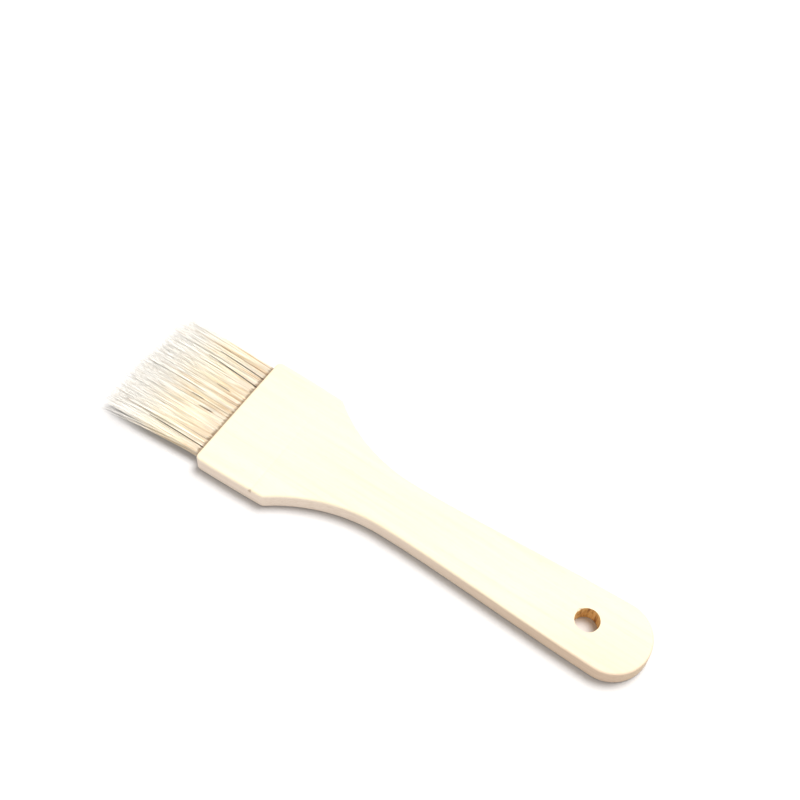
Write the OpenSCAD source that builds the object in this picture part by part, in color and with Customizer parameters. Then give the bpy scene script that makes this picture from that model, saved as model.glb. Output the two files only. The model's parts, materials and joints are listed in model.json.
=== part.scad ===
// Flat pastry brush. A one-piece wooden handle holds a flat pack of natural bristle, which is set
// with hard adhesive in a blind slot in the end of the head.
// The brush lies flat: +X runs towards the bristle tips, +Y across the width and +Z up.
// The origin is on the surface that the brush lies on, under the middle of its overall box.
// Distances called "along the handle" are measured from the head's end towards the tail.

/* [Handle] */
// Length of the wood, without the bristle
handle_len = 167; // [160:1:185]
// Thickness of the wood
wood_t = 7; // [6.5:0.5:9]
// Radius of the rounding along the outside edges
edge_r = 1.1; // [0.6:0.1:1.2]

/* [Head] */
// Width of the head, the brush's nominal width
head_w = 50; // [44:1:56]
// Distance along the handle to the shoulder corners
head_len = 28; // [22:0.5:30]
// How much narrower each side of the head is at the shoulders than at the slot
shoulder_in = 0.6; // [0:0.1:1.5]
// Radius of the head's two end corners, seen from above
corner_r = 2.2; // [1.6:0.1:4]
// Radius of the two shoulder corners, seen from above
shoulder_r = 2.5; // [1.6:0.1:4]

/* [Neck and tail] */
// Width of the neck at its narrowest
neck_w = 20.8; // [18:0.2:24]
// Distance along the handle to where the shoulder curves run into the neck
neck_start = 69; // [60:1:76]
// Distance along the handle to where the neck starts to widen towards the tail
neck_end = 76; // [76:1:90]
// Greatest width of the tail
tail_w = 27.2; // [25:0.2:32]
// Length of the rounded end of the tail
tail_len = 13; // [10:0.2:26]

/* [Hang hole] */
// Diameter of the hang hole
hole_d = 8.5; // [6:0.5:10]
// Distance from the tail's end to the centre of the hang hole
hole_inset = 23; // [14:0.5:30]

/* [Slot] */
// Depth of the slot that holds the bristle
slot_depth = 14; // [12:1:18]
// Height of the slot, between its two lips
slot_h = 4; // [3.6:0.2:4.4]
// Width of the wood left at each end of the slot
cheek_w = 2.6; // [1.6:0.2:4]
// Depth of the adhesive bed in the bottom of the slot
resin_depth = 3; // [2:0.5:5]

/* [Bristle] */
// Length of the longest bristle outside the slot
bristle_len = 38; // [30:1:45]
// Thickness of the bristle pack where it leaves the slot
pack_t = 3.5; // [3:0.1:3.5]
// Extra thickness of the pack half way to the tips
pack_swell = 1.1; // [0:0.1:1.2]
// Thickness of the pack at its tips
tip_t = 1.4; // [1:0.1:2]
// How far the outer tufts spread sideways by their tips
splay = 1; // [0:0.1:1.2]
// How much shorter the outermost tufts are than the middle ones
crown = 1.6; // [0:0.1:3]

/* [Hidden] */
$fn = 64;
tuft_share = [5, 7, 6, 8, 6, 7, 6];       // relative widths of the tufts, from -Y to +Y
tufts = len(tuft_share);
overall_len = handle_len + bristle_len;
head_x = overall_len / 2 - bristle_len;   // the head's end face
tail_x = head_x - handle_len;
mid_z = wood_t / 2;

glue_gap = 0.05;      // glue line between the setting and the wood
seat_gap = 0.05;      // running clearance between a tuft's knuckle and its root
pack_gap = 0.3;       // clearance between the pack and each end of the slot
tuft_gap = 0.1;       // clearance between neighbouring tufts
hinge_out = 0.4;      // the bristle bends about a line this far outside the slot's mouth
root_cut = 1.05;      // the roots stop this far short of that line
tip_corner = 1.2;     // rounding of a tuft's tip corners, seen from above

slot_w = head_w - 2 * cheek_w;
pack_w = slot_w - 2 * pack_gap;
slot_x = head_x - slot_depth;             // the bottom of the slot
hinge_x = head_x + hinge_out;
free_len = bristle_len - hinge_out;       // longest tuft, from the bending line

wood_color = [0.96, 0.91, 0.80];
resin_color = [0.70, 0.52, 0.28];
root_color = [0.78, 0.66, 0.46];
tuft_colors = [[0.93, 0.86, 0.71], [0.90, 0.81, 0.64]];

// Points along an arc, from angle a0 to angle a1 in n steps
function arc(centre, r, a0, a1, n) =
    [for (i = [0:n]) centre + r * [cos(a0 + (a1 - a0) * i / n), sin(a0 + (a1 - a0) * i / n)]];

// All of a list but its first item
function rest(list) = [for (i = [1:len(list) - 1]) list[i]];

// One side of the handle seen from above, as [distance along the handle, half width]

// The shoulder is an arc that runs into the neck's edge and into the rounded shoulder corner
shoulder_y = head_w / 2 - shoulder_in - shoulder_r;
corner_rise = shoulder_y - neck_w / 2;
neck_run = neck_start - head_len;
shoulder_curve_r =
    (pow(neck_run, 2) + pow(corner_rise, 2) - pow(shoulder_r, 2)) / (2 * (corner_rise + shoulder_r));
shoulder_centre = [neck_start, neck_w / 2 + shoulder_curve_r];
shoulder_a = atan2(shoulder_curve_r - corner_rise, neck_run);

// From the neck to the tail the edge is nearly straight and eases in and out a little
tail_start = handle_len - tail_len;
taper_steps = 12;
function taper(u) = (u + (1 - cos(180 * u)) / 2) / 2;

tail_steps = 12;
side = concat(
    arc([corner_r, head_w / 2 - corner_r], corner_r, 180, 90, 5),
    arc([head_len, shoulder_y], shoulder_r, 90, shoulder_a, 4),
    rest(arc(shoulder_centre, shoulder_curve_r, 180 + shoulder_a, 270, 14)),
    [for (i = [0:taper_steps])
        let (u = i / taper_steps)
        [neck_end + (tail_start - neck_end) * u, (neck_w + (tail_w - neck_w) * taper(u)) / 2]],
    [for (i = [1:tail_steps])
        let (a = 90 * i / tail_steps)
        [tail_start + tail_len * sin(a), tail_w / 2 * cos(a)]]
);

// The whole outline: out along +Y to the tail's tip, which is shared, and back along -Y
tip = len(side) - 1;
function mirrored(p) = [p[0], -p[1]];
outline = concat(side, [for (i = [tip - 1:-1:0]) mirrored(side[i])]);
outline_n = len(outline);

// The outline moved inwards by d, square to itself at each point
function inward(i) =
    let (along = outline[(i + 1) % outline_n] - outline[(i + outline_n - 1) % outline_n])
    [along[1], -along[0]] / norm(along);
function inset(d) = [for (i = [0:outline_n - 1]) outline[i] + d * inward(i)];

// The wood without its hole and slot: rings of the outline, drawn in at the top and bottom edges
edge_steps = 5;
edge_angles = [for (j = [0:edge_steps]) 90 * j / edge_steps];
rings = concat(
    [for (a = edge_angles) [edge_r * (1 - sin(a)), edge_r * (1 - cos(a))]],
    [for (a = edge_angles) [edge_r * (1 - cos(a)), wood_t - edge_r * (1 - sin(a))]]
);
module rounded_board() {
    n = outline_n;
    last = (len(rings) - 1) * n;
    polyhedron(
        points = [for (r = rings) for (p = inset(r[0])) [head_x - p[0], p[1], r[1]]],
        faces = concat(
            [for (r = [0:len(rings) - 2]) for (i = [0:n - 1])
                let (k = (i + 1) % n)
                [r * n + i, (r + 1) * n + i, (r + 1) * n + k, r * n + k]],
            [for (i = [0:tip - 2]) [i, i + 1, n - 2 - i, n - 1 - i]],
            [[tip - 1, tip, tip + 1]],
            [for (i = [0:tip - 2]) [last + n - 1 - i, last + n - 2 - i, last + i + 1, last + i]],
            [[last + tip + 1, last + tip, last + tip - 1]]
        )
    );
}

module handle() {
    color(wood_color)
    difference() {
        rounded_board();
        translate([tail_x + hole_inset, 0, -1])
            cylinder(d = hole_d, h = wood_t + 2);
        translate([slot_x, -slot_w / 2, mid_z - slot_h / 2])
            cube([slot_depth + 1, slot_w, slot_h]);
    }
}

// Hard adhesive bed that fills the bottom of the slot
module resin_setting() {
    color(resin_color)
    translate([slot_x + glue_gap, glue_gap - slot_w / 2, mid_z + glue_gap - slot_h / 2])
        cube([resin_depth, slot_w - 2 * glue_gap, slot_h - 2 * glue_gap]);
}

// Width position of the boundary before tuft i, where the pack leaves the slot
function share_before(i) = i <= 1 ? 0 : share_before(i - 1) + tuft_share[i - 2];
function boundary(i) = pack_w * (share_before(i) / share_before(tufts + 1) - 0.5);
function low_y(i) = boundary(i) + tuft_gap / 2;
function high_y(i) = boundary(i + 1) - tuft_gap / 2;

// Set end of tuft i, held in the slot, with a hollow seat for the tuft's round knuckle
module root(i) {
    root_x = slot_x + 2 * glue_gap + resin_depth;
    root_h = slot_h - 2 * glue_gap;
    color(root_color)
    difference() {
        translate([root_x, low_y(i), mid_z - root_h / 2])
            cube([hinge_x - root_cut - root_x, high_y(i) - low_y(i), root_h]);
        translate([hinge_x, 0, mid_z])
            rotate([90, 0, 0])
                cylinder(r = pack_t / 2 + seat_gap, h = head_w, center = true);
    }
}

// Length of tuft i from the bending line, shorter towards the edges of the pack
function tuft_len(i) =
    let (middle = (boundary(i) + boundary(i + 1)) / pack_w)
    free_len - crown * pow(middle, 2);

// Half thickness of the pack at the fraction u of its length
function half_t(u) = (pack_t + (tip_t - pack_t) * pow(u, 2)) / 2 + pack_swell * u * (1 - u);

// A tuft's side shape, as wide as the head: a round knuckle on the bending line, a swelling and a
// thin round tip
module tuft_slab(length) {
    steps = 10;
    wide = head_w + 2;
    body_len = length - tip_t / 2;
    upper = [for (j = [0:steps]) [body_len * j / steps, half_t(j / steps)]];
    lower = [for (j = [steps:-1:0]) mirrored(upper[j])];
    rotate([90, 0, 0]) {
        cylinder(d = pack_t, h = wide, center = true);
        linear_extrude(height = wide, center = true)
            polygon(concat(upper, lower));
        translate([body_len, 0, 0])
            cylinder(d = tip_t, h = wide, center = true);
    }
}

// Outline of tuft i seen from above, spreading towards its tip
module tuft_lane(i, length) {
    spread = 1 + 2 * splay / pack_w;
    y0 = low_y(i) * spread;
    y1 = high_y(i) * spread;
    back = -pack_t;
    polygon(concat(
        [[back, low_y(i)], [0, low_y(i)]],
        arc([length - tip_corner, y0 + tip_corner], tip_corner, -90, 0, 4),
        arc([length - tip_corner, y1 - tip_corner], tip_corner, 0, 90, 4),
        [[0, high_y(i)], [back, high_y(i)]]
    ));
}

// Free bristle of tuft i
module tuft(i) {
    length = tuft_len(i);
    color(tuft_colors[i % 2])
    translate([hinge_x, 0, mid_z])
        intersection() {
            tuft_slab(length);
            linear_extrude(height = 2 * wood_t, center = true)
                tuft_lane(i, length);
        }
}

handle();
resin_setting();
for (i = [1:tufts]) {
    root(i);
    tuft(i);
}
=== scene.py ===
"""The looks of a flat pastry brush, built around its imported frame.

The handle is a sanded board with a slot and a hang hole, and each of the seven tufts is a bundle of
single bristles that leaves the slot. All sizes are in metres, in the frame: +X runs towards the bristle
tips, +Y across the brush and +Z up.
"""

import json
import math

import bpy
import numpy as np
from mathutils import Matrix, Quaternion, Vector


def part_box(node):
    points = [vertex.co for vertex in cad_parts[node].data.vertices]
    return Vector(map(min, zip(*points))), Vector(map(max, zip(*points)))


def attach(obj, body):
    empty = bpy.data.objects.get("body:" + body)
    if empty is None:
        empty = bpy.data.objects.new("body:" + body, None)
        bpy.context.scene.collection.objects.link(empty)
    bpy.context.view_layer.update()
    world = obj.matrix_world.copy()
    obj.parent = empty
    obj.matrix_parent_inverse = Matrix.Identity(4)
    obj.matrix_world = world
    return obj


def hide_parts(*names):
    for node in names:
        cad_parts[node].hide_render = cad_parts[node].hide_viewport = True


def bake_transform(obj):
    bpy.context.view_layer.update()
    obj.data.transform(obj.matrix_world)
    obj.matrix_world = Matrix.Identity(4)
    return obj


MM = 0.001
SEED = 11

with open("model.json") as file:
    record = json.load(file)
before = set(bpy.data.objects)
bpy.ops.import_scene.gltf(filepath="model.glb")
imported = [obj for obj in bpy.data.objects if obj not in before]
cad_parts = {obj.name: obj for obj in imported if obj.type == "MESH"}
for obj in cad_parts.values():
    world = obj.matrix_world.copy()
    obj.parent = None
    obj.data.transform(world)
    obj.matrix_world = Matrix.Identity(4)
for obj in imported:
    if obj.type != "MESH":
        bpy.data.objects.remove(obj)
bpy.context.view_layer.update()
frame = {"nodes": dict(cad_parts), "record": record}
record = frame["record"]
cad = frame["nodes"]


# ---------------------------------------------------------------- places taken from the frame

handle_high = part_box("handle")[1]
resin_low, resin_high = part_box("resin_setting")
hole = next(m for m in record["mounts"] if m["name"] == "hang_hole")
hole_x, hole_y = hole["pos_m"][:2]
hole_r = hole["dims"]["r_mm"] * MM
root_names = sorted(n for n in cad if n.startswith("root_"))
tuft_names = sorted(n for n in cad if n.startswith("tuft_"))

head_x = handle_high.x
thickness = handle_high.z
mid_z = thickness / 2
GLUE = 0.05 * MM  # the glue line that CAD leaves round the resin
slot_bottom = resin_low.x - GLUE
slot_half_w = resin_high.y + GLUE
slot_half_h = (resin_high.z - resin_low.z) / 2 + GLUE
pack_half_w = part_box(root_names[-1])[1].y
free_len = max(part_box(t)[1].x for t in tuft_names) - head_x

# A small dent in the handle's upper edge on the +Y side, near the shoulder
DENT_X = head_x - 23.8 * MM
DENT_HALF_W = 0.45 * MM
DENT_IN, DENT_DOWN = 0.42 * MM, 0.26 * MM


# ---------------------------------------------------------------- small helpers


def new_object(name, mesh, material=None):
    """A mesh object in the scene, with its material."""
    made = bpy.data.objects.new(name, mesh)
    bpy.context.scene.collection.objects.link(made)
    if material is not None:
        made.data.materials.append(material)
    return made


def mesh_from(name, points, *face_sets):
    """A mesh of points and of arrays of faces, one array for each number of corners."""
    mesh = bpy.data.meshes.new(name)
    corners = np.concatenate([f.ravel() for f in face_sets]).astype(np.int32)
    sizes = np.concatenate([np.full(len(f), f.shape[1]) for f in face_sets])
    mesh.vertices.add(len(points))
    mesh.vertices.foreach_set("co", np.ascontiguousarray(points, np.float32).ravel())
    mesh.loops.add(len(corners))
    mesh.loops.foreach_set("vertex_index", corners)
    mesh.polygons.add(len(sizes))
    starts = np.concatenate([[0], np.cumsum(sizes)[:-1]]).astype(np.int32)
    mesh.polygons.foreach_set("loop_start", starts)
    mesh.update(calc_edges=True)
    mesh.validate()
    mesh.shade_smooth()
    return mesh


def shaped(obj, sharp_deg):
    """obj with its modifiers applied, smooth but for edges sharper than sharp_deg."""
    done = bpy.data.meshes.new_from_object(obj.evaluated_get(bpy.context.evaluated_depsgraph_get()))
    obj.modifiers.clear()
    obj.data = done
    done.shade_smooth()
    done.set_sharp_from_angle(angle=math.radians(sharp_deg))


def smoothstep(low, high, value):
    """value from low to high, eased, as a number from 0 to 1."""
    t = np.clip((value - low) / (high - low), 0, 1)
    return t * t * (3 - 2 * t)


def ripple(rng, at, waves, size):
    """A smooth random curve along at (0 to 1), periodic, about size high."""
    total = np.zeros_like(at)
    for k in range(1, waves + 1):
        total += np.sin(2 * math.pi * (k * at + rng.random())) * rng.normal() / math.sqrt(k)
    return total * size / 2


class Nodes:
    """A material that is built up by adding nodes."""

    def __init__(self, name):
        self.material = bpy.data.materials.new(name)
        self.material.use_nodes = True
        self.tree = self.material.node_tree
        self.tree.nodes.clear()
        self.shader = self.add("ShaderNodeBsdfPrincipled")
        out = self.add("ShaderNodeOutputMaterial")
        self.tree.links.new(self.shader.outputs[0], out.inputs["Surface"])

    def put(self, socket, value):
        if isinstance(value, bpy.types.NodeSocket):
            self.tree.links.new(value, socket)
        else:
            socket.default_value = value

    def add(self, kind, inputs=None, **settings):
        made = self.tree.nodes.new(kind)
        for key, value in settings.items():
            setattr(made, key, value)
        for key, value in (inputs or {}).items():
            self.put(made.inputs[key], value)
        return made

    def math(self, operation, a, b=0.0):
        return self.add("ShaderNodeMath", {0: a, 1: b}, operation=operation).outputs[0]

    def between(self, value, low, high, to_low=0.0, to_high=1.0):
        """value from low to high, eased, as a number from to_low to to_high."""
        inputs = {"Value": value, 1: low, 2: high, 3: to_low, 4: to_high}
        made = self.add("ShaderNodeMapRange", inputs, interpolation_type="SMOOTHSTEP")
        return made.outputs["Result"]

    def mix(self, share, a, b, how="MIX"):
        made = self.add("ShaderNodeMix", data_type="RGBA", blend_type=how)
        self.put(made.inputs[0], share)
        self.put(made.inputs[6], a)
        self.put(made.inputs[7], b)
        return made.outputs[2]

    def stretched(self, vector, scale):
        inputs = {0: vector, 1: scale}
        return self.add("ShaderNodeVectorMath", inputs, operation="MULTIPLY").outputs[0]

    def noise(self, vector, scale=1.0, detail=2.0, rough=0.5, distortion=0.0):
        inputs = {
            "Vector": vector,
            "Scale": scale,
            "Detail": detail,
            "Roughness": rough,
            "Distortion": distortion,
        }
        return self.add("ShaderNodeTexNoise", inputs).outputs["Fac"]

    def ramp(self, value, stops):
        made = self.add("ShaderNodeValToRGB", {"Fac": value})
        ramp = made.color_ramp
        while len(ramp.elements) < len(stops):
            ramp.elements.new(0.5)
        for element, (at, colour) in zip(ramp.elements, stops):
            element.position = at
            element.color = (*colour, 1)
        return made.outputs["Color"]

    def distance(self, a, b):
        return self.add("ShaderNodeVectorMath", {0: a, 1: b}, operation="DISTANCE").outputs["Value"]

    def split(self, vector):
        return self.add("ShaderNodeSeparateXYZ", {0: vector}).outputs

    def place_mm(self):
        """The point on the surface, in millimetres in the frame."""
        place = self.add("ShaderNodeTexCoord").outputs["Object"]
        return self.stretched(place, (1 / MM, 1 / MM, 1 / MM))

    def normal(self):
        return self.add("ShaderNodeNewGeometry").outputs["Normal"]

    def attribute(self, name):
        return self.add("ShaderNodeAttribute", attribute_name=name).outputs["Fac"]

    def bump(self, height, distance, strength=1.0):
        inputs = {"Height": height, "Distance": distance, "Strength": strength}
        self.put(self.shader.inputs["Normal"], self.add("ShaderNodeBump", inputs).outputs[0])

    def finish(self, colour, roughness, specular=0.4):
        self.put(self.shader.inputs["Base Color"], colour)
        self.put(self.shader.inputs["Roughness"], roughness)
        self.shader.inputs["Specular IOR Level"].default_value = specular
        return self.material


# ---------------------------------------------------------------- materials


def wood_material():
    """Bare pale wood: long faint grain, short pores, end grain, a hole scorched by the drill, and painted
    shade on the sides, the lower edge and the dent.
    """
    m = Nodes("pale_wood")
    place = m.place_mm()
    wander = m.noise(m.stretched(place, (0.012, 0.05, 0.05)), 1.0, 1.0)
    drift = m.add("ShaderNodeCombineXYZ", {1: m.math("MULTIPLY", wander, 5.0)}).outputs[0]
    bent = m.add("ShaderNodeVectorMath", {0: place, 1: drift}, operation="ADD").outputs[0]
    broad = m.noise(m.stretched(bent, (0.012, 0.22, 0.3)), 1.0, 3.0, 0.55)
    streak = m.noise(m.stretched(bent, (0.03, 1.3, 1.5)), 1.0, 4.0, 0.6)
    pores = m.noise(m.stretched(bent, (0.35, 7.0, 7.0)), 1.0, 1.0, 0.5)
    cloud = m.noise(place, 0.035, 2.0)

    tone = m.math("MULTIPLY", broad, 0.45)
    tone = m.math("ADD", tone, m.math("MULTIPLY", streak, 0.4))
    tone = m.math("ADD", tone, m.math("MULTIPLY", cloud, 0.15))
    face = m.ramp(
        tone,
        [
            (0.34, (0.69, 0.60, 0.43)),
            (0.46, (0.745, 0.665, 0.49)),
            (0.60, (0.765, 0.69, 0.52)),
        ],
    )
    pore = m.between(pores, 0.60, 0.72)
    face = m.mix(m.math("MULTIPLY", pore, 0.35), face, (0.60, 0.48, 0.31, 1))

    # Warmer heartwood towards the tail's +Y side
    at = m.split(place)
    warm = m.math("MULTIPLY", m.between(at[0], -52, -92), m.between(at[1], -6, 10))
    face = m.mix(m.math("MULTIPLY", warm, 0.8), face, (0.98, 0.87, 0.88, 1), "MULTIPLY")

    # Painted shade: the side faces are made a darker tan, darker still towards the tail, with faint grain
    # streaks
    facing = m.split(m.normal())
    side = m.between(m.math("ABSOLUTE", facing[2]), 0.25, 0.9, 1.0, 0.0)
    side_shade = m.mix(m.between(at[0], 30, -80), (0.86, 0.75, 0.65, 1), (0.67, 0.525, 0.40, 1))
    side_shade = m.mix(0.8, side_shade, m.ramp(streak, [(0.3, (0.86, 0.83, 0.80)), (0.6, (1, 1, 1))]), "MULTIPLY")
    colour = m.mix(m.math("MULTIPLY", side, 0.9), face, side_shade)
    speckle = m.noise(m.stretched(place, (0.5, 5.0, 5.0)), 1.0, 2.0, 0.6)
    end = m.between(m.math("ABSOLUTE", facing[0]), 0.55, 0.95)
    grain = m.ramp(speckle, [(0.35, (0.50, 0.37, 0.22)), (0.62, (0.82, 0.70, 0.52))])
    colour = m.mix(m.math("MULTIPLY", end, 0.6), colour, grain)

    # Painted shade: the lower rounded edge is darkened where the contact shadow falls, and a dark spot is
    # painted in the dent
    lower_edge_shade = m.math("MULTIPLY", m.between(facing[2], -0.15, -0.6), m.between(facing[2], -0.99, -0.85))
    colour = m.mix(m.math("MULTIPLY", lower_edge_shade, 0.8), colour, (0.33, 0.235, 0.165, 1))
    dent_shade_at = (DENT_X / MM, handle_high.y / MM - 0.6, thickness / MM - 0.9)
    colour = m.mix(m.between(m.distance(place, dent_shade_at), 0.3, 0.9, 0.6, 0.0), colour, (0.36, 0.26, 0.17, 1))

    # The drill leaves the hole's wall scorched, unevenly
    level = m.stretched(place, (1, 1, 0))
    radius = m.distance(level, (hole_x / MM, hole_y / MM, 0))
    wall = m.between(radius, hole_r / MM + 0.03, hole_r / MM + 0.12, 1.0, 0.0)
    burn = m.noise(m.stretched(place, (0.9, 0.9, 0.25)), 1.0, 3.0, 0.6)
    scorch = m.ramp(
        burn,
        [
            (0.30, (0.34, 0.16, 0.05)),
            (0.46, (0.68, 0.40, 0.13)),
            (0.66, (0.86, 0.61, 0.27)),
        ],
    )
    colour = m.mix(wall, colour, scorch)

    relief = m.math("ADD", m.math("MULTIPLY", streak, 0.6), m.math("MULTIPLY", pores, -0.4))
    m.bump(relief, 0.12 * MM, 0.35)
    return m.finish(colour, m.between(streak, 0.2, 0.8, 0.72, 0.55), 0.3)


def bristle_material():
    """Natural hog bristle: cream to tan from hair to hair, pale at the tips, with a painted shade line at
    the slot's mouth.
    """
    m = Nodes("hog_bristle")
    tone = m.attribute("tone")
    along = m.attribute("along")
    hair = m.ramp(
        tone,
        [
            (0.0, (0.99, 0.96, 0.86)),
            (0.30, (0.985, 0.92, 0.75)),
            (0.50, (0.95, 0.81, 0.57)),
            (0.70, (0.64, 0.44, 0.23)),
            (0.84, (0.34, 0.21, 0.10)),
            (0.92, (0.045, 0.026, 0.014)),
        ],
    )
    pale = m.math("MULTIPLY", m.between(along, 0.35, 1.0), m.between(tone, 0.6, 0.9, 1.0, 0.0))
    colour = m.mix(m.math("MULTIPLY", pale, 0.9), hair, (0.99, 0.985, 0.96, 1))
    colour = m.mix(m.between(along, 0.0, 0.38, 0.85, 0.0), colour, (0.86, 0.81, 0.79, 1), "MULTIPLY")
    # Painted shade: a dark, uneven line where the bristles leave the slot's mouth
    uneven = m.noise(m.stretched(m.place_mm(), (0.02, 1.6, 0.6)), 1.0, 2.0)
    edge = m.math("SUBTRACT", along, m.math("MULTIPLY", uneven, 0.08))
    colour = m.mix(m.between(edge, -0.022, 0.008, 0.9, 0.0), colour, (0.40, 0.32, 0.24, 1), "MULTIPLY")
    fleck = m.between(m.noise(m.stretched(m.place_mm(), (0.10, 0.9, 0.9)), 1.0, 3.0), 0.48, 0.68, 0.0, 0.45)
    warm = m.math("MULTIPLY", fleck, m.between(along, 0.3, 0.9, 1.0, 0.25))
    colour = m.mix(warm, colour, (0.93, 0.79, 0.58, 1), "MULTIPLY")
    m.shader.inputs["Sheen Weight"].default_value = 0.4
    m.shader.inputs["Sheen Roughness"].default_value = 0.5
    return m.finish(colour, m.between(tone, 0.0, 1.0, 0.45, 0.3), 0.45)


def root_material():
    """Bristle ends soaked in hard adhesive."""
    m = Nodes("soaked_bristle")
    place = m.place_mm()
    hairs = m.noise(m.stretched(place, (0.15, 5.5, 5.5)), 1.0, 3.0, 0.6)
    colour = m.ramp(
        hairs,
        [
            (0.3, (0.16, 0.09, 0.035)),
            (0.5, (0.42, 0.27, 0.12)),
            (0.7, (0.68, 0.50, 0.28)),
        ],
    )
    m.bump(hairs, 0.1 * MM, 0.6)
    return m.finish(colour, m.between(hairs, 0.3, 0.7, 0.3, 0.55), 0.5)


def resin_material():
    """Hard amber adhesive with a few trapped bubbles."""
    m = Nodes("amber_resin")
    place = m.place_mm()
    cloud = m.noise(place, 0.35, 3.0, 0.6)
    colour = m.ramp(
        cloud,
        [
            (0.3, (0.22, 0.11, 0.03)),
            (0.5, (0.42, 0.24, 0.07)),
            (0.7, (0.58, 0.38, 0.14)),
        ],
    )
    bubbles = m.add("ShaderNodeTexVoronoi", {"Vector": place, "Scale": 1.6}).outputs["Distance"]
    m.bump(m.between(bubbles, 0.05, 0.22), 0.08 * MM, 0.5)
    return m.finish(colour, m.between(cloud, 0.3, 0.7, 0.18, 0.35), 0.5)


def sheet_material():
    """The pale woven sheet that the brush lies on."""
    m = Nodes("white_sheet")
    place = m.place_mm()
    weave = m.noise(place, 1.1, 3.0, 0.65)
    cloud = m.noise(place, 0.01, 2.0)
    colour = m.ramp(cloud, [(0.3, (0.625, 0.62, 0.625)), (0.7, (0.655, 0.655, 0.655))])
    m.bump(weave, 0.12 * MM, 0.5)
    return m.finish(colour, m.between(weave, 0.3, 0.7, 0.85, 0.95), 0.2)


# ---------------------------------------------------------------- handle

ROW_PITCH = 0.42 * MM  # between the points of the outline
COLUMNS = 40  # across the board
TURN_STEPS = 8  # round a quarter of an edge
SHARP_DEG = 34  # edges of the handle sharper than this stay sharp
RIM = 0.10 * MM  # how far the drill has broken the hole's rim
TEAR_TURN = math.radians(-23)  # where round the hole the splinter is torn out
TEAR_WIDTH = 0.16  # its half width, in radians
CHIP, CHIP_MOST = 0.12 * MM, 0.22 * MM  # chips along the slot's mouth: usual and largest depth


def eased(at, values, wanted):
    """values, known at the rising places at, read at wanted: smooth, and never past its neighbours."""
    step = np.diff(at)
    slope = np.diff(values) / step
    tangent = np.zeros_like(values)
    same = slope[:-1] * slope[1:] > 0
    w1 = 2 * step[1:] + step[:-1]
    w2 = step[1:] + 2 * step[:-1]
    with np.errstate(divide="ignore", invalid="ignore"):
        inner = (w1 + w2) / (w1 / slope[:-1] + w2 / slope[1:])
    tangent[1:-1] = np.where(same, inner, 0)
    tangent[0], tangent[-1] = slope[0], slope[-1]
    i = np.clip(np.searchsorted(at, wanted) - 1, 0, len(step) - 1)
    h = step[i]
    t = (wanted - at[i]) / h
    return (
        values[i] * (1 + 2 * t) * (1 - t) ** 2
        + tangent[i] * h * t * (1 - t) ** 2
        + values[i + 1] * t * t * (3 - 2 * t)
        + tangent[i + 1] * h * t * t * (t - 1)
    )


def handle_side():
    """The +Y side of the CAD handle seen from above, from the head's end to the tail's tip, as closely
    spaced points, and the radius of its edges."""
    points = np.array([v.co for v in cad["handle"].data.vertices], float)
    tiny = 0.01 * MM
    edge_r = points[points[:, 1] > handle_high.y - tiny][:, 2].min()
    ring = points[(abs(points[:, 2] - edge_r) < tiny) & (points[:, 1] > -tiny)][:, :2]
    ring = np.unique(np.round(ring, 7), axis=0)[::-1]
    far = np.concatenate([[0], np.cumsum(np.linalg.norm(np.diff(ring, axis=0), axis=1))])
    count = int(far[-1] / ROW_PITCH)
    wanted = np.linspace(0, far[-1], count)
    side = np.stack([eased(far, ring[:, k], wanted) for k in range(2)], 1)
    side[-1, 1] = 0
    return side, edge_r


def board_rings(loop, inward, radius):
    """The outline at each height, from the bottom face round the edges to the top face."""
    turn = np.radians(np.linspace(0, 90, TURN_STEPS + 1))
    edge = [(radius * (1 - math.sin(a)), radius * (1 - math.cos(a))) for a in turn]
    wall = [(0 * radius, radius + (thickness - 2 * radius) * share) for share in (0.25, 0.5, 0.75)]
    rings = edge + wall + [(inset, thickness - z) for inset, z in edge[::-1]]
    return [np.column_stack([loop + inward * inset[:, None], z]) for inset, z in rings]


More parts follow.
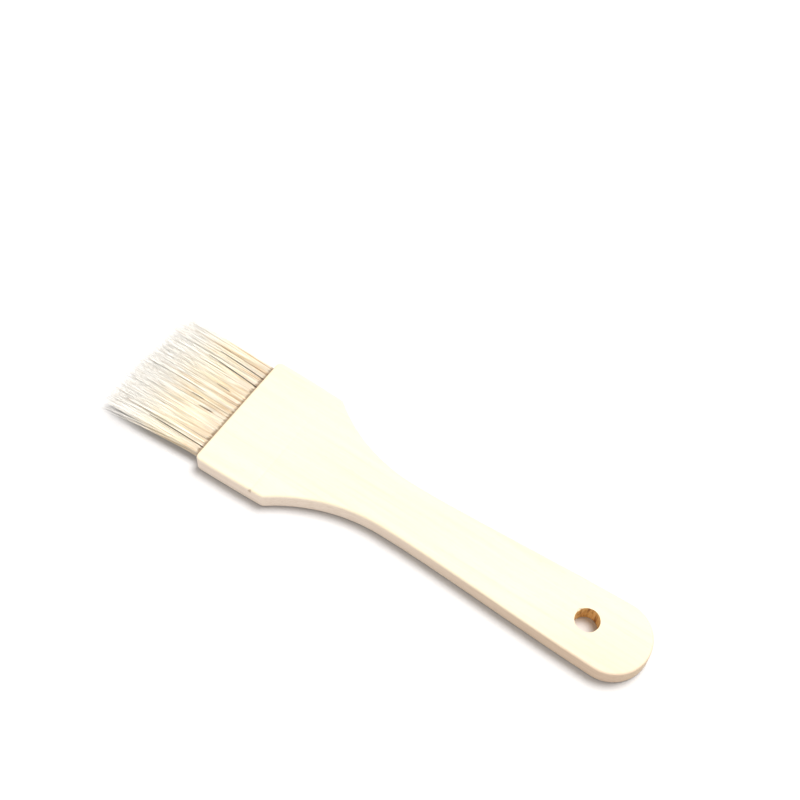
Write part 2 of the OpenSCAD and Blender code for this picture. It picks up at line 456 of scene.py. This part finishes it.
def board_mesh(rng):
    """The board without its slot and hole: rings round the outline, closed by rows across it.

    The loop starts at the head's +Y corner, runs by the tail back to its -Y corner, and then along the
    head's end. n counts the points of one side and m those of the whole loop."""
    side, edge_r = handle_side()
    n = len(side)
    across = np.linspace(1, -1, COLUMNS + 1)
    end_edge = np.column_stack([np.full(COLUMNS - 1, side[0, 0]), side[0, 1] * across[-2:0:-1]])
    loop = np.concatenate([side, side[-2::-1] * [1, -1], end_edge])
    m = len(loop)
    along = np.roll(loop, -1, 0) - np.roll(loop, 1, 0)
    inward = np.stack([-along[:, 1], along[:, 0]], 1) / np.linalg.norm(along, axis=1)[:, None]

    # Hand sanding leaves the edges' radius and the outline a little uneven
    at = np.arange(m) / m
    radius = edge_r * np.clip(0.93 + ripple(rng, at, 24, 0.07), 0.75, 1.1)
    sanded = np.clip(0.03 * MM + ripple(rng, at, 30, 0.02 * MM), 0, 0.1 * MM)
    loop = loop + inward * sanded[:, None]
    rings = board_rings(loop, inward, radius)

    # The dent is in the upper edge
    for ring in rings[-TURN_STEPS - 1 :]:
        near = np.exp(-(((ring[:, 0] - DENT_X) / DENT_HALF_W) ** 2)) * (ring[:, 1] > 0)
        high = smoothstep(thickness - 2 * edge_r, thickness - 0.4 * edge_r, ring[:, 2])
        ring[:, 1] -= DENT_IN * near * high
        ring[:, 2] -= DENT_DOWN * near * high

    points = [*rings]
    i = np.arange(m)
    k = (i + 1) % m
    quads = [np.column_stack([r * m + i, r * m + k, (r + 1) * m + k, (r + 1) * m + i])
             for r in range(len(rings) - 1)]
    tris = []
    total = len(rings) * m
    for ring_at, upward in ((0, False), (len(rings) - 1, True)):
        ring = rings[ring_at]
        rows = np.zeros((n - 1, COLUMNS + 1), int)
        rows[:, 0] = ring_at * m + np.arange(n - 1)
        rows[:, -1] = ring_at * m + 2 * n - 2 - np.arange(n - 1)
        rows[0, 1:-1] = ring_at * m + m - 1 - np.arange(COLUMNS - 1)
        inner = (n - 2) * (COLUMNS - 1)
        rows[1:, 1:-1] = total + np.arange(inner).reshape(n - 2, -1)
        share = (1 - across[1:-1]) / 2
        first, last = ring[1 : n - 1], ring[2 * n - 3 : n - 1 : -1]
        fill = first[:, None] + (last - first)[:, None] * share[None, :, None]
        points.append(fill.reshape(-1, 3))
        total += inner
        quad = np.stack([rows[:-1, :-1], rows[1:, :-1], rows[1:, 1:], rows[:-1, 1:]], -1)
        quad = quad.reshape(-1, 4)
        tip = np.full(COLUMNS, ring_at * m + n - 1)
        tri = np.column_stack([rows[-1, :-1], tip, rows[-1, 1:]])
        quads.append(quad if upward else quad[:, ::-1])
        tris.append(tri if upward else tri[:, ::-1])
    return mesh_from("handle_wood", np.concatenate(points), np.concatenate(quads), np.concatenate(tris))


def hole_cutter(rng):
    """The drill's cut: a round wall, a slightly broken rim and a splinter torn out of the top."""
    turn = np.linspace(0, 2 * math.pi, 144, endpoint=False)
    rim = RIM * (1 + 0.6 * np.clip(ripple(rng, turn / 2 / math.pi, 14, 0.8), -1, 1.5))
    tear = np.exp(-(((turn - TEAR_TURN + math.pi) % (2 * math.pi) - math.pi) / TEAR_WIDTH) ** 2)
    # Height as a share of the board's thickness, and share of the broken rim at that height
    heights = [(-1 / 7, 1), (0, 1), (0.18 / 7, 0.25), (0.5 / 7, 0), (2 / 7, 0), (5 / 7, 0)]
    heights += [(6.4 / 7, 0), (6.78 / 7, 0.25), (1, 1), (8 / 7, 1)]
    points = []
    for share, flare in heights:
        z = share * thickness
        torn = tear * (0.75 * MM if share >= 1 else 0.45 * MM if share > 0.96 else 0)
        wall = ripple(rng, turn / 2 / math.pi, 9, 0.02 * MM)
        r = hole_r + wall * (flare == 0) + rim * flare + torn
        points.append(np.column_stack([hole_x + r * np.cos(turn), hole_y + r * np.sin(turn),
                                       np.full(len(turn), z)]))
    n, i = len(turn), np.arange(len(turn))
    k = (i + 1) % n
    walls = [np.column_stack([r * n + i, r * n + k, (r + 1) * n + k, (r + 1) * n + i])
             for r in range(len(heights) - 1)]
    caps = [i[::-1][None], ((len(heights) - 1) * n + i)[None]]
    return mesh_from("hole_cutter", np.concatenate(points), np.concatenate(walls), *caps)


def slot_cutter(rng):
    """The blind slot, with a mouth whose long edges are chipped here and there."""
    count = 240
    y = np.linspace(-slot_half_w, slot_half_w, count)
    chip_low, chip_high = (
        np.clip(ripple(rng, np.linspace(0, 1, count), 60, CHIP), 0, CHIP_MOST) for _ in range(2)
    )
    # Each place along the slot, and how far the chips open it there
    places = [(slot_bottom, 0), (head_x - 0.7 * MM, 0), (head_x, 1), (head_x + 1 * MM, 2.4)]
    layers = []
    for x, opened in places:
        low = np.column_stack([np.full(count, x), y, mid_z - slot_half_h - chip_low * opened])
        high = np.column_stack([np.full(count, x), y, mid_z + slot_half_h + chip_high * opened])
        layers.append(np.concatenate([low, high[::-1]]))
    n = 2 * count
    i = np.arange(n)
    k = (i + 1) % n
    walls = [np.column_stack([r * n + k, r * n + i, (r + 1) * n + i, (r + 1) * n + k])
             for r in range(len(places) - 1)]
    caps = [i[None], ((len(places) - 1) * n + i[::-1])[None]]
    return mesh_from("slot_cutter", np.concatenate(layers), np.concatenate(walls), *caps)


def make_handle(material):
    """The board with its hole and its slot cut out."""
    rng = np.random.default_rng(SEED)
    board = new_object("handle_wood", board_mesh(rng), material)
    for cutter_mesh in (hole_cutter(rng), slot_cutter(rng)):
        cutter = new_object(cutter_mesh.name, cutter_mesh)
        cut = board.modifiers.new("cut", "BOOLEAN")
        cut.operation, cut.solver, cut.object = "DIFFERENCE", "EXACT", cutter
        shaped(board, SHARP_DEG)
        bpy.data.objects.remove(cutter)
    board.data.materials.clear()
    board.data.materials.append(material)
    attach(board, "handle")
    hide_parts("handle")
    return board


# ---------------------------------------------------------------- bristle

HAIR_R = 0.098 * MM  # mean radius of a bristle
HAIR_PITCH = 0.205 * MM  # between bristles in the slot
HAIR_STEPS = 10  # pieces along a bristle
HAIR_SIDES = 4
ROOT_IN = 4 * MM  # how far inside the slot's mouth the single bristles start
OVER = 5.8 * MM  # how far the longest bristle ends reach past the CAD tuft
SCATTER = (2.5, 2.7 * MM)  # how unevenly the tips end: shape and scale of the spread
SKEW = 1.3 * MM  # the +Y side is longer than the middle by this
SPREAD = 0.045  # share by which the pack is wider at its tips
PACK_THICK, PACK_SWELL, PACK_TIP = 1.72 * MM, 1.0 * MM, 0.75 * MM  # half thickness: see pack_half
LOCK_WIDTH = 0.7 * MM  # across a lock of bristles that lean together
LOCKS_DEEP = 3  # locks one above another
STRAY_SHARE = 0.06  # of the bristles lean well out of line
BROWN_SHARE = 0.065  # of the bristles are tan or brown
BLACK = 0.97  # the tone of a dark bristle
NEVER = 9.0  # a place past every tip: the bristle never turns dark
DARK_R = 0.2 * MM  # radius of a dark bristle
# Dark bristles on the pack's upper side: place across it from +Y (0) to -Y (1), length as a share of the
# tuft's, place along the pack's free length after which it is dark, and sideways lean at the tips in mm
DARK = (
    (0.065, 0.66, -1.0, -0.6),
    (0.765, 0.62, -1.0, -2.2),
    (0.860, 0.55, -1.0, -1.2),
    (0.105, 0.97, 0.90, 0.2),
    (0.43, 0.47, 0.30, 0.3),
    (0.60, 0.34, 0.20, -0.8),
    (0.37, 0.33, 0.17, 1.2),
)


def pack_half(u):
    """Half the thickness of the pack at the share u of its free length."""
    return PACK_THICK + (PACK_TIP - PACK_THICK) * u * u + PACK_SWELL * u * (1 - u)


def strands(root, heading, bow, length, radius, v):
    """Points of many bristles, as an array of bristle, step, side and axis, and how far along the pack
    each step is, as a share of its free length.

    root is where each leaves the slot across the brush, v its height in the pack from -1 to 1, heading
    and bow its sideways and upward lean and curve at the tip."""
    s = np.linspace(0, 1, HAIR_STEPS + 1)
    run = -ROOT_IN + (length[:, None] + ROOT_IN) * s[None]
    u = run / free_len
    out = np.clip(u, 0, None)
    y = root[:, None] * (1 + SPREAD * out) + heading[:, :1] * out + bow[:, :1] * out * (out - 0.6)
    z = mid_z + v[:, None] * pack_half(out) + heading[:, 1:] * out + bow[:, 1:] * out * (out - 0.4)
    lowest = 0.25 * MM
    centre = np.stack([head_x + run, y, np.maximum(z, lowest)], -1)
    thin = radius[:, None] * (1 - 0.62 * np.clip(run / length[:, None], 0, 1) ** 1.8)
    turn = np.arange(HAIR_SIDES) * 2 * math.pi / HAIR_SIDES + math.pi / 4
    ring = np.stack([0 * turn, np.cos(turn), np.sin(turn)], -1)
    return centre[:, :, None] + thin[:, :, None, None] * ring, u


def strand_mesh(name, points, u, tone, dark_from):
    """One closed tube for each bristle, with a pointed tip, and its tone and place along it kept."""
    count, steps, sides, _ = points.shape
    tips = points[:, -1].mean(1)
    tips += (tips - points[:, -2].mean(1)) * 0.25
    own = steps * sides + 1
    base = np.arange(count)[:, None, None] * own
    ring = np.arange(steps - 1)[None, :, None] * sides
    i = np.arange(sides)[None, None]
    k = (i + 1) % sides
    a = base + ring
    quads = np.stack([a + i, a + k, a + sides + k, a + sides + i], -1).reshape(-1, 4)
    last = base[:, 0] + (steps - 1) * sides
    tip = base[:, 0] + steps * sides + 0 * i[0]
    tris = np.stack([last + i[0], last + k[0], tip], -1).reshape(-1, 3)
    caps = (base[:, 0] + np.arange(sides)[::-1]).reshape(-1, sides)
    flat = np.concatenate([points.reshape(count, -1, 3), tips[:, None]], 1).reshape(-1, 3)
    mesh = mesh_from(name, flat, np.concatenate([quads, caps]), tris)
    place = np.concatenate([np.repeat(u, sides, 1), u[:, -1:]], 1)
    tone = np.where(place > dark_from[:, None], BLACK, tone[:, None])
    for key, values in (("tone", tone.ravel()), ("along", place.ravel())):
        mesh.attributes.new(key, "FLOAT", "POINT").data.foreach_set("value", values.astype(np.float32))
    return mesh


def tuft_hairs(rng, low_y, high_y, longest):
    """Random bristles that fill the tuft between low_y and high_y: the inputs of strands, then each
    bristle's tone and where it turns dark."""
    columns = round((high_y - low_y) / HAIR_PITCH)
    rows = round(2 * pack_half(0) / HAIR_PITCH)
    j, i = np.meshgrid(np.arange(rows), np.arange(columns))
    i = i.ravel() + 0.5 * (j.ravel() % 2) + rng.uniform(-0.4, 0.4, i.size)
    j = j.ravel() + rng.uniform(-0.4, 0.4, j.size)
    root = np.clip(low_y + (i + 0.25) / columns * (high_y - low_y), low_y + HAIR_R, high_y - HAIR_R)
    v = np.clip((j + 0.5) / rows * 2 - 1, -0.97, 0.97)
    count = len(root)

    # Bristles gather a little in locks, which lean and end together
    locks = max(4, round((high_y - low_y) / LOCK_WIDTH) * LOCKS_DEEP)
    lock_y = rng.uniform(low_y, high_y, locks)
    lock_v = rng.uniform(-1, 1, locks)
    apart = ((root[:, None] - lock_y) / MM) ** 2 + (1.2 * (v[:, None] - lock_v)) ** 2
    mine = apart.argmin(1)
    gather = rng.uniform(0.0, 0.35, count)
    heading = np.column_stack([
        (lock_y[mine] - root) * gather + rng.normal(0, 0.22 * MM, locks)[mine],
        rng.normal(0, 0.06 * MM, locks)[mine],
    ])
    heading += np.column_stack([rng.normal(0, 0.45 * MM, count), rng.normal(0, 0.25 * MM, count)])
    stray = rng.random(count) < STRAY_SHARE
    heading[stray, 0] += rng.normal(0, 1.5 * MM, stray.sum())
    bow = np.column_stack([rng.normal(0, 0.32 * MM, count), rng.normal(0, 0.22 * MM, count)])
    reach = longest + OVER + SKEW * root / pack_half_w
    length = reach - rng.gamma(SCATTER[0], SCATTER[1], count) + rng.normal(0, 0.7 * MM, locks)[mine]
    length = np.clip(length, 0.4 * longest, reach)
    radius = HAIR_R * rng.uniform(0.72, 1.2, count)
    tone = 0.24 + rng.normal(0, 0.06, locks)[mine] + rng.normal(0, 0.13, count)
    brown = rng.random(count) < BROWN_SHARE
    tone[brown] = rng.uniform(0.55, 0.80, brown.sum())
    return [root, heading, bow, length, radius, v, np.clip(tone, 0, 0.84), np.full(count, NEVER)]


def dark_hairs(low_y, high_y, longest):
    """The few dark bristles that lie on top of this tuft, given as tuft_hairs gives its own."""
    made = []
    for place, share, dark_from, lean in DARK:
        y = pack_half_w * (1 - 2 * place)
        if low_y <= y < high_y + 0.1 * MM:
            heading, bow = (lean * MM, 0.5 * MM), (0, 0)
            made.append((y, heading, bow, share * longest, DARK_R, 1.0, 0.3, dark_from))
    return made


def make_tuft(number, root_name, tuft_name, material):
    """The single bristles of one tuft."""
    rng = np.random.default_rng(SEED + number)
    low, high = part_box(root_name)
    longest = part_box(tuft_name)[1].x - head_x
    hairs = tuft_hairs(rng, low.y, high.y, longest)
    for extra in dark_hairs(low.y, high.y, longest):
        hairs = [np.concatenate([h, np.array(e, float)[None]]) for h, e in zip(hairs, extra)]
    points, u = strands(*hairs[:6])
    name = f"bristles_{number}"
    tuft = new_object(name, strand_mesh(name, points, u, *hairs[6:]), material)
    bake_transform(tuft)
    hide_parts(tuft_name)
    return tuft


# ---------------------------------------------------------------- floor, light and camera


FLOOR_HALF = 30.0  # metres, so that its edge is past the horizon
FLOOR_DROP = 0.02 * MM  # below the brush, so that the two never touch
KEY_POWER = 3.75
FILL_POWER = 0.4
WORLD_LIGHT = 0.59


def make_floor(material):
    """The white sheet, as a grid of four squares."""
    count = 3
    edge = np.linspace(-FLOOR_HALF, FLOOR_HALF, count)
    x, y = np.meshgrid(edge, edge)
    points = np.column_stack([x.ravel(), y.ravel(), np.full(x.size, -FLOOR_DROP)])
    i = (np.arange(count - 1)[:, None] * count + np.arange(count - 1)).ravel()
    squares = np.column_stack([i, i + 1, i + count + 1, i + count])
    floor = new_object("floor", mesh_from("floor", points, squares), material)


def far_light(name, direction, spread_deg, power, colour):
    """A large soft lamp far away in that direction, so that it lights the floor evenly."""
    data = bpy.data.lights.new(name, "SUN")
    data.angle, data.energy, data.color = math.radians(spread_deg), power, colour
    light = bpy.data.objects.new(name, data)
    bpy.context.scene.collection.objects.link(light)
    light.rotation_euler = (-Vector(direction)).to_track_quat("-Z", "Y").to_euler()


def make_lights():
    """A soft key from the far -Y side, a weak fill from the +Y side, and light from all round."""
    world = bpy.data.worlds.new("soft_white")
    world.use_nodes = True
    background = world.node_tree.nodes["Background"]
    background.inputs["Color"].default_value = (1, 0.94, 0.89, 1)
    background.inputs["Strength"].default_value = WORLD_LIGHT
    bpy.context.scene.world = world
    far_light("key", (-0.12, -0.40, 1.0), 30, KEY_POWER, (1, 0.995, 0.985))
    far_light("fill", (0.08, 1.0, 0.6), 60, FILL_POWER, (1, 0.97, 0.94))
    bpy.context.scene.view_settings.view_transform = "Standard"


def make_camera():
    """Looks down at the brush from beyond its +Y side, turned a little about its own line of sight."""
    data = bpy.data.cameras.new("camera")
    data.lens, data.sensor_width = 62.3, 36
    camera = bpy.data.objects.new("camera", data)
    bpy.context.scene.collection.objects.link(camera)
    camera.location = (-0.1204, 0.1980, 0.4246)
    aim = Vector((0.2792, -0.4696, -0.8375)).to_track_quat("-Z", "Y")
    camera.rotation_euler = (aim @ Quaternion((0, 0, 1), math.radians(3.7))).to_euler()
    data.clip_start = 0.01
    bpy.context.scene.camera = camera


# ---------------------------------------------------------------- the scene

wood, hair, soaked, resin = wood_material(), bristle_material(), root_material(), resin_material()
make_handle(wood)
for number, names in enumerate(zip(root_names, tuft_names), 1):
    make_tuft(number, *names, hair)
for name, material in [("resin_setting", resin), *[(r, soaked) for r in root_names]]:
    cad[name].data.materials.clear()
    cad[name].data.materials.append(material)
make_floor(sheet_material())
make_lights()
make_camera()
